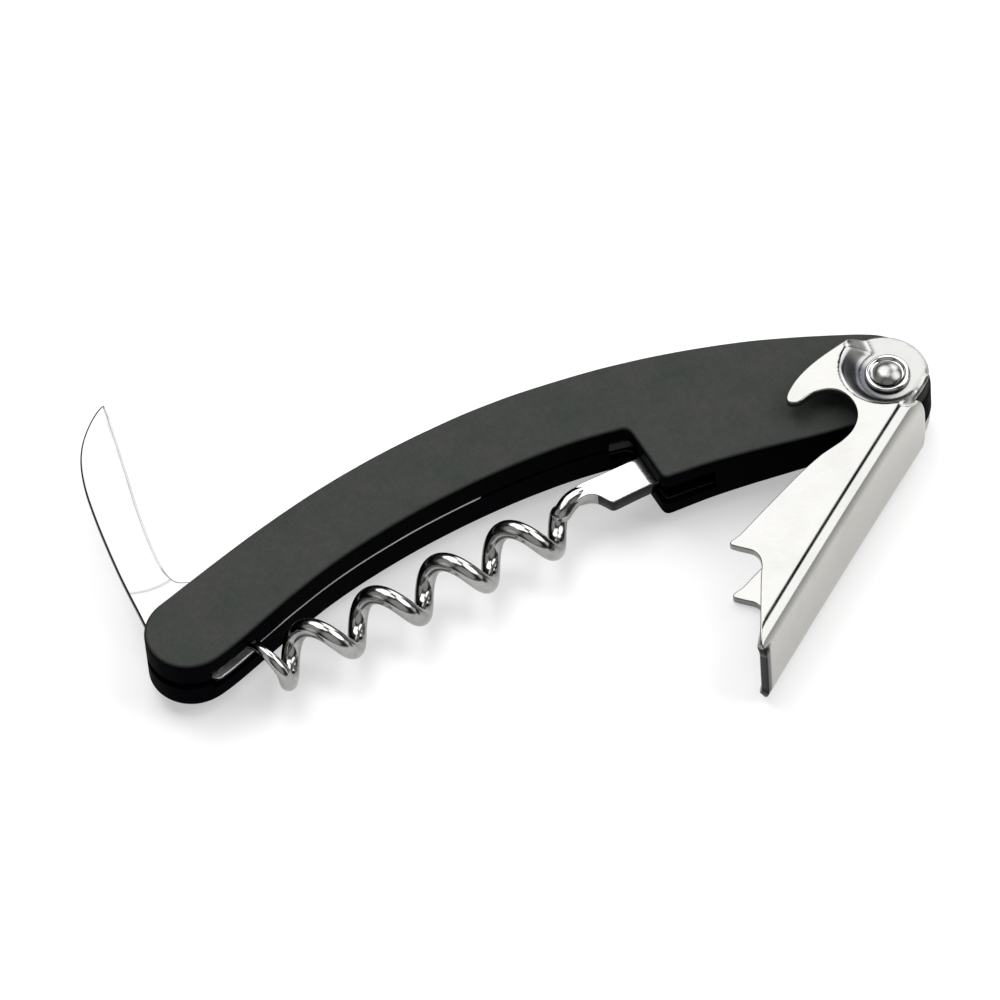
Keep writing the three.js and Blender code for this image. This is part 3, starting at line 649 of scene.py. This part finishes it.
def spring():
    low = spline(underside, 0.4)
    low = low[(low[:, 0] > -91.7) & (low[:, 0] < -36.4)]
    top = low[::-1] + [0.1, 0.62]
    top[:, 1] += 2.1 - 1.2 * np.clip((-87.5 - low[::-1][:, 0]) / 4.2, 0, 1)
    right = spline([(-36.0, 6.5), (-34.4, 6.1), (-33.2, 5.3), (-31.5, 4.55), (-29.6, 4.55), (-28.4, 5.2), (-27.4, 6.6), (-27.2, 7.6), (-28.2, 8.35), (-31, 8.45), (-35.0, 8.7)], 0.3)
    outer = relax(spaced(ccw(np.vstack([low + [0, 0.62], right, top])), 0.35, closed=True), 3)

    def mapped(p, h):
        return np.stack([p[:, 0], p[:, 1], h], 1)

    v, f, marks = plate(outer, [], 1.0, 0.3, 1.2, mapped, rings=5, gap=0.5)
    # the rib that shows between the covers' lips, with a drawn round edge
    rib = spline(underside, 0.3)
    rib = rib[(rib[:, 0] > -91.8) & (rib[:, 0] < -56)]
    rib = relax(spaced(ccw(np.vstack([rib + [0, 0.06], rib[::-1] + [0, 0.9]])), 0.2, closed=True), 1)

    def raised(p, h):
        return np.stack([p[:, 0], p[:, 1], 0.45 + h], 1)

    v2, f2, m2 = plate(rib, [], 0.25, 0.11, 0.6, raised, rings=4, gap=0.2)
    n = len(v)
    v, f, marks = np.vstack([v, v2]), f + [tuple(i + n for i in q) for q in f2], np.concatenate([marks, m2])
    o = make("back_spring_strip", v, f, "handle", ["back_spring"], SPRING_STEEL, marks)
    # painted shade: the strip is painted near black from about x = -57.5 towards the worm end, inside the slot's shade
    painted_dark_shade = smooth01((v[:, 0] + 57.5) / 3.0)
    a = o.data.attributes.new("painted_dark_shade", "FLOAT", "POINT")
    a.data.foreach_set("value", painted_dark_shade.astype(np.float32))
    return o


spring()

# -------------------------------------------------------------------- knife
SPINE = [(-104.9, 1.6), (-104.93, 4.03), (-105.0, 6.37), (-105.15, 9.62), (-105.24, 13.03), (-105.23, 16.89), (-105.15, 20.6), (-104.98, 24.2), (-104.68, 27.7), (-104.1, 30.9),
         (-103.28, 33.42), (-102.15, 35.58), (-100.46, 37.8), (-98.83, 39.4), (-97.44, 40.27)]
EDGE = [(-97.5, 37.6), (-97.75, 35.1), (-98.08, 32.05), (-98.52, 28.0), (-99.02, 23.6), (-99.36, 19.17), (-99.5, 14.8), (-99.4, 11.9), (-99.1, 10.2), (-98.6, 9.2), (-97.9, 8.72), (-96.97, 8.5)]


def knife():
    spine, edge = spline(SPINE, 0.25), spline(EDGE, 0.25)
    tang = np.vstack([[(-96.2, 7.6), (-95.9, 5.5), (-95.88, 2.5)], arc(*KNIFE_PIVOT, 4.5, 8, -172, 50), [(-104.95, -0.4)]])
    outer = relax(spaced(ccw(np.vstack([spine, edge, tang])), 0.25, closed=True), 2)
    hole = arc(*KNIFE_PIVOT, 1.47, 0, 360, 36)[:-1]
    sharp_edge, blunt = spline(EDGE, 0.1), spline(SPINE, 0.1)
    keep = sharp_edge[sharp_edge[:, 1] > 8.9]

    def plunge(x):
        return np.interp(x, [-104.9, -104.4, -102.5, -101.0, -99.5, -98.6], [9.62, 9.49, 9.15, 9.2, 9.45, 9.94])

    def ground(p):
        """Share of the full thickness: 1 on the tang, wedge across the blade."""
        d = reach(p, [keep])
        w = reach(p, [blunt])
        across = np.clip(d / np.maximum(d + w, 1e-6), 0, 1)
        wedge = 0.42 + 0.54 * across ** 0.85 * np.clip((d + w) / 3.4, 0.0, 1.0)
        # the grind starts along a shallow curve across the base and runs out into the point
        rise = smooth01((p[:, 1] - plunge(p[:, 0])) / 3.2)
        tip = 1 - 0.2 * smooth01((p[:, 1] - 31.0) / 9.0)
        return 1 + (wedge * tip - 1) * rise

    def mapped(p, h):
        return np.stack([p[:, 0], p[:, 1], h * ground(p)], 1)

    # finer rows along the start of the grind
    rows = np.concatenate([np.arange(-7, 8.4, 0.45), np.arange(8.5, 10.6, 0.14), np.arange(10.9, 42, 0.45)])
    v, f, marks = plate(outer, [hole], 0.6, 0.3, 0.45, mapped, rings=5, gap=0.15, lines=(np.arange(-107, -94, 0.45), rows))
    o = make("knife_blade_ground", v, f, "knife", ["knife_blade"], BLADE_STEEL, marks, sharp=30)
    v = np.array(v)
    # painted shade: the rounded edge along the spine is painted near black
    painted_dark_shade = np.clip(3 * np.asarray(marks), 0, 1) * smooth01((0.5 - reach(v[:, :2], [blunt])) / 0.1)
    # painted shade: a faint dark line where the grind starts
    painted_dark_shade = np.maximum(painted_dark_shade, 0.4 * np.exp(-((v[:, 1] - plunge(v[:, 0])) / 0.2) ** 2))
    a = o.data.attributes.new("painted_dark_shade", "FLOAT", "POINT")
    a.data.foreach_set("value", painted_dark_shade.astype(np.float32))
    return o


knife()

# --------------------------------------------------------------------- worm
def worm():
    tilt = math.radians(7.85)
    a, v = np.array([math.cos(tilt), math.sin(tilt)]), np.array([-math.sin(tilt), math.cos(tilt)])
    R, pitch, phi0, u0 = 4.0, 10.15, 215, 0.25
    last = phi0 + 4 * 360 + 118
    pts, rad = [], []
    for phi in np.arange(22, last + 0.1, 5):
        turn = (phi - phi0) / 360
        u = u0 + pitch * turn if turn >= 0.12 else u0 + pitch * 0.12 + pitch * (turn - 0.12) * (1 - 0.44 * min(1, (0.12 - turn) / 0.3))
        k = min(1, (phi - 22) / 240)
        r = 0.12 + (1.28 - 0.12) * math.sqrt(k)
        q = math.radians(phi)
        w = (R - r) * math.cos(q)
        pts.append((*(np.array([-90.88, -8.31]) + a * u + v * w), (R - r) * math.sin(q)))
        rad.append((r, r))
    # lead out of the coil into the flattened shank
    p = np.array([pts[-4], pts[-1], (-47.1, -0.1, -0.85), (-45.7, 0.74, -0.35), (-44.2, 1.12, 0.0), (-42.6, 1.2, 0.0)])
    lead = []
    for i in range(1, len(p) - 1):
        p0, p1, p2, p3 = p[i - 1], p[i], p[i + 1], p[min(i + 2, len(p) - 1)]
        for t in np.linspace(0, 1, 8, endpoint=False):
            v0, v1 = (p2 - p0) / 2, (p3 - p1) / 2
            lead.append((2 * p1 - 2 * p2 + v0 + v1) * t**3 + (-3 * p1 + 3 * p2 - 2 * v0 - v1) * t**2 + v0 * t + p1)
    lead.append(p[-1])
    lead = lead[1:]
    for i, q in enumerate(lead):
        k = smooth01(np.array((i - len(lead) * 0.45) / (len(lead) * 0.5)))
        pts.append(tuple(q))
        rad.append((1.28 - 0.10 * k, 1.28 - 0.25 * k))      # in the plane, through the plane
    P = np.array(pts)
    T = np.gradient(P, axis=0)
    T /= np.linalg.norm(T, axis=1, keepdims=True)
    sides = 28
    N = np.cross([0, 0, 1], T[0]); N /= np.linalg.norm(N)
    verts, faces = [], []
    frames = []
    for i in range(len(P)):
        N = N - T[i] * np.dot(N, T[i]); N /= np.linalg.norm(N)
        frames.append((N.copy(), np.cross(T[i], N)))
    for i, (N, B) in enumerate(frames):
        for k in range(sides):
            c = 2 * math.pi * k / sides
            off = N * math.cos(c) + B * math.sin(c)
            z = abs(off[2])
            r = rad[i][0] * (1 - z * z) + rad[i][1] * z * z
            verts.append(P[i] + off * r)
    for i in range(len(P) - 1):
        for k in range(sides):
            l = (k + 1) % sides
            faces.append((i * sides + k, i * sides + l, (i + 1) * sides + l, (i + 1) * sides + k))
    first, end = len(verts), len(verts) + 1
    verts += [P[0] - T[0] * 0.05, P[-1] + T[-1] * 0.02]
    for k in range(sides):
        l = (k + 1) % sides
        faces.append((first, l, k))
        m = (len(P) - 1) * sides
        faces.append((end, m + k, m + l))
    wire = make("worm_wire", verts, faces, "worm", None, WORM_STEEL, [0.0] * len(verts), sharp=60)

    W = WORM_PIVOT
    outline = np.vstack([
        spline([(-45.9, 1.35), (-45.3, 1.75), (-43.9, 2.12), (-43.36, 2.2), (-41.5, 2.37), (-39.5, 2.58), (-37.5, 2.78), (-35.48, 3.0), (-33.6, 3.24)], 0.25),
        arc(W[0], W[1], 3.0, 118, -78, 40),
        spline([(-32.0, -1.45), (-33.2, -1.55), (-35.0, -1.78), (-36.9, -2.0), (-38.8, -2.26), (-40.45, -2.48)], 0.25),
        spline([(-40.72, -2.4), (-41.1, -1.9), (-41.6, -1.15), (-42.25, -0.42), (-43.2, 0.02), (-44.4, 0.0), (-45.2, -0.12), (-45.9, 0.35)], 0.2)])
    outline = relax(spaced(ccw(outline), 0.22, closed=True), 2)
    hole = arc(W[0], W[1], 1.37, 0, 360, 36)[:-1]

    def mapped(p, h):
        # the forging is thinner where it runs into the wire
        k = 1 - 0.55 * smooth01((-43.2 - p[:, 0]) / 2.6)
        return np.stack([p[:, 0], p[:, 1], h * k], 1)

    v2, f2, m2 = plate(outline, [hole], 1.1, 0.16, 0.7, mapped, rings=4, gap=0.35)
    tab = make("worm_tab", v2, f2, "worm", None, WORM_STEEL, m2, sharp=30)
    # one forging: the wire and the shank are joined into one closed mesh
    join = wire.modifiers.new("forged", "BOOLEAN")
    join.operation, join.solver, join.object = "UNION", "EXACT", tab
    for o in (wire, tab):
        o.modifiers.remove(o.modifiers["even_normals"])
    bpy.context.view_layer.update()
    dg = bpy.context.evaluated_depsgraph_get()
    joined = bpy.data.meshes.new_from_object(wire.evaluated_get(dg))
    wire.modifiers.clear()
    wire.data = joined
    joined.name = "worm_forging"
    bpy.data.objects.remove(tab)
    joined.polygons.foreach_set("use_smooth", [True] * len(joined.polygons))
    joined.set_sharp_from_angle(angle=math.radians(34))
    # painted shade: the shank's sheared sides, the faces not turned up or down, are painted near black; drawing
    # coordinates from the placed ones
    shift = place(np.zeros((1, 3)))[0]
    painted_dark_shade = []
    for q in joined.polygons:
        x = (q.center[0] - shift[0]) * 1000
        painted_dark_shade.append(1.0 if x > -42.0 and abs(q.normal[2]) < 0.5 else 0.0)
    a = joined.attributes.new("painted_dark_shade", "FLOAT", "FACE")
    a.data.foreach_set("value", np.array(painted_dark_shade, np.float32))
    even = wire.modifiers.new("even_normals", "WEIGHTED_NORMAL")
    even.keep_sharp = True
    wire.name = "worm_forging"
    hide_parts("worm")
    return wire


worm()


# -------------------------------------------------------------------- lever
HALF_W, SHEET, BEND = 6.75, 1.2, 2.4
FLAT_Z = HALF_W - BEND                      # the web is flat within this height
R_MID = BEND - SHEET / 2
B0, B1, B2 = np.array([-33.3, -36.75]), np.array([-15.9, -21.6]), np.array([3.2, -5.85])


def web_line():
    t = np.linspace(0, 1, 1201)[:, None]
    p = (1 - t) ** 2 * B0 + 2 * t * (1 - t) * B1 + t ** 2 * B2
    s = np.concatenate([[0], np.cumsum(np.linalg.norm(np.diff(p, axis=0), axis=1))])
    return p, s


LINE, LINE_S = web_line()
D0, D1 = (B1 - B0) / np.linalg.norm(B1 - B0), (B2 - B1) / np.linalg.norm(B2 - B1)


def on_line(s):
    """Point and unit tangent of the web line, carried on straight past both ends."""
    p = np.stack([np.interp(s, LINE_S, LINE[:, 0]), np.interp(s, LINE_S, LINE[:, 1])], 1)
    p += np.minimum(s, 0)[:, None] * D0 + np.maximum(s - LINE_S[-1], 0)[:, None] * D1
    t = np.clip(s / LINE_S[-1], 0, 1)
    # tangent of the quadratic curve; its parameter is close to the share of the length
    u = np.interp(s, LINE_S, np.linspace(0, 1, len(LINE)))
    d = (1 - u)[:, None] * (B1 - B0) + u[:, None] * (B2 - B1)
    return p, d / np.linalg.norm(d, axis=1, keepdims=True)


def to_sheet(p):
    """Side view points to (s, w): along the web line and inwards from it."""
    p = np.asarray(p, float)
    s = np.empty(len(p))
    for i, q in enumerate(p):
        k = int(np.argmin(np.sum((LINE - q) ** 2, axis=1)))
        s[i] = LINE_S[k]
    for _ in range(3):
        a, d = on_line(s)
        s = s + np.sum((p - a) * d, axis=1)
    a, d = on_line(s)
    w = (p[:, 0] - a[:, 0]) * -d[:, 1] + (p[:, 1] - a[:, 1]) * d[:, 0]
    return s, w


def t_of(w):
    b = np.arccos(np.clip(1 - w / BEND, 0, 1))
    return np.where(w < BEND, FLAT_Z + R_MID * b, FLAT_Z + R_MID * math.pi / 2 + (w - BEND))


def ear_drop(x, y):
    """How far the cheek is pressed in round the pivot."""
    rho = np.hypot(x, y)
    deep = 1 - smooth01((rho - 3.9) / 2.5)
    # towards the far side the ear is flat out to its edge
    side = np.where(y < -3.6, x - 1.9, np.where(y > 4.3, x + 1.2, x + 1.2 - (4.3 - y) / 7.9 * 3.1))
    far = smooth01((side + 2.9) / 3.9)
    far = far * (1 - smooth01((rho - 6.5) / 0.8))
    return 2.25 * np.maximum(deep, far)


def lever():
    hook = spline([(-1.6, 6.5), (-3.89, 5.95), (-7.84, 4.75), (-10.39, 3.66), (-12.27, 2.52), (-13.78, 1.2), (-14.4, 0.3), (-14.42, -0.22), (-14.04, -0.6), (-13.45, -0.86), (-12.9, -0.93)], 0.2)
    gullet = spline([(-12.2, -0.7), (-11.5, -0.46), (-10.1, -0.26), (-8.5, -0.55), (-7.2, -1.5), (-6.5, -3.1), (-6.45, -4.8), (-6.99, -6.4), (-8.4, -7.95), (-10.31, -8.95)], 0.25)
    free = spline([(-13.48, -9.85), (-16.94, -11.4), (-21.54, -13.85), (-26.09, -16.35), (-28.3, -17.6)], 0.3)
    tooth = spline([(-29.9, -18.1), (-30.25, -18.5), (-29.6, -19.2), (-28.5, -20.1), (-27.75, -20.75), (-27.4, -21.5), (-27.35, -22.4)], 0.2)
    boot = spline([(-27.6, -23.4), (-28.4, -25.0), (-29.95, -28.66), (-31.4, -32.2), (-32.15, -34.3), (-32.3, -34.95), (-31.7, -35.9)], 0.25)
    ear = arc(-0.45, 0.35, 6.15, -62, 96, 60)
    free_edge = np.vstack([boot[::-1], tooth[::-1], free[::-1], gullet[::-1], hook[::-1], ear[::-1]])
    s, w = to_sheet(free_edge)
    half = np.stack([s, t_of(np.maximum(w, 0.0))], 1)
    s_tip, s_end = 1.9, 47.45
    tip = [(s_tip, 0.0), (s_tip, 2.0), (s_tip, 4.0)]
    end = [(46.35, 5.9), (46.9, 4.6), (47.3, 3.2), (s_end, 1.8), (s_end, 0.0)]
    # the last ear point stays clear of the web's end
    half = np.vstack([tip, half, end])
    other = half[::-1] * [1, -1]
    loop = np.vstack([half, other[1:-1]])
    loop = relax(spaced(ccw(loop), 0.2, closed=True), 3)
    hs, hw = to_sheet(arc(0, 0, 1.58, 0, 360, 40)[:-1])
    hole = np.stack([hs, t_of(hw)], 1)
    holes = [hole, hole * [1, -1]]

    def mapped(p, h):
        s, t = p[:, 0], p[:, 1]
        a, d = on_line(s)
        n = np.stack([-d[:, 1], d[:, 0]], 1)
        u = np.abs(t) - FLAT_Z
        turn = np.clip(u / R_MID, 0, math.pi / 2)
        r = R_MID + h
        w = BEND - r * np.cos(turn) + np.maximum(u - R_MID * math.pi / 2, 0)
        z = np.where(u < 0, np.abs(t), FLAT_Z + r * np.sin(turn))
        xy = a + n * w[:, None]
        z = z - ear_drop(xy[:, 0], xy[:, 1]) * smooth01((w - 0.3) / 1.6)
        return np.stack([xy[:, 0], xy[:, 1], z * np.sign(t + 1e-12)], 1)

    # finer rows across the bends and round the pressed ears
    b0, b1 = FLAT_Z, FLAT_Z + R_MID * math.pi / 2
    rows = np.concatenate([np.linspace(0, b0, 8)[:-1], np.linspace(b0, b1, 12)[:-1], np.arange(b1, 24, 0.36)])
    rows = np.concatenate([-rows[:0:-1], rows])
    cols = np.arange(-2, 58, 0.42)
    v, f, marks = plate(loop, holes, SHEET / 2, 0.2, 0.4, mapped, rings=4, gap=0.17, lines=(cols, rows))
    o = make("lever_pressing", v, f, "lever", ["lever"], LEVER_STEEL, marks, sharp=40)
    v = np.array(v)
    w = to_sheet(v[:, :2])[1]
    # painted light: the web's share, which the lever steel brightens about twofold
    share = smooth01((HALF_W - 0.62 - np.abs(v[:, 2])) / 1.1) * smooth01((BEND * 0.75 - w) / 0.8)
    web_painted_light = o.data.attributes.new("web_painted_light", "FLOAT", "POINT")
    web_painted_light.data.foreach_set("value", share.astype(np.float32))
    # the pressed recess round the pivot, painted with shade that is darkest on the body side and clears towards the web
    x, y = v[:, 0], v[:, 1]
    rho, turn = np.hypot(x, y), np.degrees(np.arctan2(y, x)) % 360
    cheek = smooth01((np.abs(v[:, 2]) - 2.9) / 0.4)
    drop = ear_drop(x, y) / 2.25
    pressed = cheek * np.clip(4 * drop * (1.12 - drop), 0, 1)
    recess = smooth01((drop - 0.04) / 0.2) * smooth01((6.9 - rho) / 0.6) * smooth01((turn - 118) / 25) * (1 - smooth01((turn - 205) / 105))
    # painted shade: the web's end at the tip is painted near black
    tip = smooth01((on_line(np.array([1.9]))[0][0][0] + 0.9 - x) / 0.3) * (w < 1.4) * (np.abs(v[:, 2]) < 5.6)
    for name, value in (("pressed", pressed), ("recess_painted_shade", cheek * recess), ("painted_dark_shade", tip)):
        a = o.data.attributes.new(name, "FLOAT", "POINT")
        a.data.foreach_set("value", value.astype(np.float32))
    return o


lever()

# ---------------------------------------------------------- rivet and rings
head = [(0, -5.75), (0.55, -5.72), (1.05, -5.6), (1.45, -5.42), (1.75, -5.22), (1.94, -5.05), (2.0, -4.95), (1.93, -4.88), (1.5, -4.88)]
shank = [(1.5, 4.88), (1.93, 4.88), (2.0, 4.95), (1.94, 5.05), (1.75, 5.22), (1.45, 5.42), (1.05, 5.6), (0.55, 5.72), (0, 5.75)]
v, f = lathe(head + shank, 0, 0)
make("lever_rivet_headed", v, f, "lever" if "lever_rivet" in frame["record"]["behaviour"]["bodies"].get("lever", []) else "handle", ["lever_rivet"], RIVET_STEEL, [0.0] * len(v), sharp=50)
ring = rounded([(1.56, 4.56), (3.0, 4.56), (3.1, 4.7), (3.04, 4.98), (2.8, 5.18), (2.48, 5.1), (2.3, 4.92), (2.12, 4.82), (1.56, 4.82)], 0.1)
for name, sign in (("rivet_washer_front", 1), ("rivet_washer_rear", -1)):
    v, f = lathe(ring, 0, 0)
    v = np.array(v) * [1, 1, sign]
    make(name + "_cupped", v, f, [b for b, ns in frame["record"]["behaviour"]["bodies"].items() if name in ns][0], [name], WASHER_STEEL, [0.0] * len(v), sharp=50, flip=sign < 0)

# ------------------------------------------------- carried-over CAD pieces
for name, material in {"spring_pin_knife_side": PIN_STEEL, "spring_pin_worm_side": PIN_STEEL, "knife_pin": PIN_STEEL, "worm_pin": PIN_STEEL, "knife_washer_front": BRASS,
                       "knife_washer_rear": BRASS, "end_spacer": LINER_STEEL, "pivot_bush": PIN_STEEL}.items():
    o = nodes[name]
    o.data.materials.clear()
    o.data.materials.append(material)

# -------------------------------------------------------------------- stage
floor_mesh = bpy.data.meshes.new("floor")
size = 3.0
floor_mesh.from_pydata([(-size, -size, 0), (size, -size, 0), (size, size, 0), (-size, size, 0)], [], [(0, 1, 2, 3)])
floor = bpy.data.objects.new("floor", floor_mesh)
bpy.context.scene.collection.objects.link(floor)
m, t, b = nodes_of("pale_floor")
b.inputs["Base Color"].default_value = (0.50, 0.50, 0.50, 1)
b.inputs["Roughness"].default_value = 0.9
b.inputs["Specular IOR Level"].default_value = 0.0
b.inputs["Emission Color"].default_value = (1.0, 1.0, 1.0, 1)
b.inputs["Emission Strength"].default_value = 0.41
floor_mesh.materials.append(m)

AZ, EL, ROLL = math.radians(17.3), math.radians(55), math.radians(5)
R = Vector((math.cos(AZ), -math.sin(AZ), 0))
F = Vector((math.sin(AZ), math.cos(AZ), 0))
Z = Vector((0, 0, 1))

# light tent: bright from the back and above, a dark opening on the camera's side, a pale horizon
world = bpy.data.worlds.new("light_tent")
bpy.context.scene.world = world
world.use_nodes = True
t = world.node_tree
background = t.nodes["Background"]
tc = t.nodes.new("ShaderNodeTexCoord")
unit = t.nodes.new("ShaderNodeVectorMath")
unit.operation = "NORMALIZE"
t.links.new(tc.outputs["Generated"], unit.inputs[0])


def towards(direction):
    n = t.nodes.new("ShaderNodeVectorMath")
    n.operation = "DOT_PRODUCT"
    t.links.new(unit.outputs[0], n.inputs[0])
    n.inputs[1].default_value = direction.normalized()
    return n.outputs["Value"]


def math_node(op, a, b):
    n = t.nodes.new("ShaderNodeMath")
    n.operation = op
    for socket, value in zip(n.inputs, (a, b)):
        if hasattr(value, "is_output"):
            t.links.new(value, socket)
        else:
            socket.default_value = value
    return n.outputs[0]


def soft(value, lo, hi):
    n = t.nodes.new("ShaderNodeMapRange")
    n.interpolation_type = "SMOOTHSTEP"
    n.inputs["From Min"].default_value = lo
    n.inputs["From Max"].default_value = hi
    t.links.new(value, n.inputs["Value"])
    return n.outputs["Result"]


def look(azimuth, elevation):
    """Unit direction: azimuth from the back towards the right, in degrees."""
    a, e = math.radians(azimuth), math.radians(elevation)
    return (F * math.cos(a) + R * math.sin(a)) * math.cos(e) + Z * math.sin(e)


def panel(azimuth, elevation, outer, inner, strength):
    d = towards(look(azimuth, elevation))
    return math_node("MULTIPLY", soft(d, math.cos(math.radians(outer)), math.cos(math.radians(inner))), strength)


height = towards(Z)
light = math_node("ADD", 0.03, 0.0)
light = math_node("ADD", light, panel(-20, 50, 25, 20, 4.4))         # soft box behind, above
light = math_node("ADD", light, panel(-55, 68, 14, 9, 4.0))          # its upper corner
light = math_node("ADD", light, panel(28, 20, 18, 13, 3.0))          # low strip behind
light = math_node("ADD", light, panel(33, 36, 15, 11, 3.4))          # between the strip and the card
light = math_node("ADD", light, panel(10, 82, 13, 9, 3.6))           # straight above
light = math_node("ADD", light, panel(82, 46, 26, 22, 4.2))          # broad card on the right
light = math_node("ADD", light, panel(95, 9, 20, 9, 1.2))            # the card's low edge
light = math_node("ADD", light, panel(-112, 16, 16, 9, 0.8))         # low card on the left
light = math_node("ADD", light, panel(180, 38, 40, 22, 0.6))         # dim wide card on the camera's side
light = math_node("ADD", light, panel(-95, 38, 32, 16, 0.55))        # and one on the left
horizon = math_node("SUBTRACT", 1.0, soft(height, 0.02, 0.16))
light = math_node("ADD", light, math_node("MULTIPLY", horizon, 0.12))
t.links.new(light, background.inputs["Strength"])
background.inputs["Color"].default_value = (1.0, 1.0, 1.0, 1)

# ------------------------------------------------------------------- camera
camera_data = bpy.data.cameras.new("camera")
camera = bpy.data.objects.new("camera", camera_data)
bpy.context.scene.collection.objects.link(camera)
bpy.context.scene.camera = camera
distance = 1.4
camera_data.sensor_width = 36
camera_data.lens = 36 * distance / 0.13333
camera_data.clip_start, camera_data.clip_end = 0.05, 20
U = F * math.sin(EL) + Z * math.cos(EL)
right = R * math.cos(ROLL) - U * math.sin(ROLL)
up = R * math.sin(ROLL) + U * math.cos(ROLL)
backward = -(F * math.cos(EL) - Z * math.sin(EL))
aim = Vector(place((-54.09, 4.625, 0.0)))
basis = Matrix((right, up, backward)).transposed().to_4x4()
basis.translation = aim + backward * distance
camera.matrix_world = basis

bpy.context.scene.view_settings.view_transform = "Standard"
bpy.context.scene.view_settings.exposure = 0.0
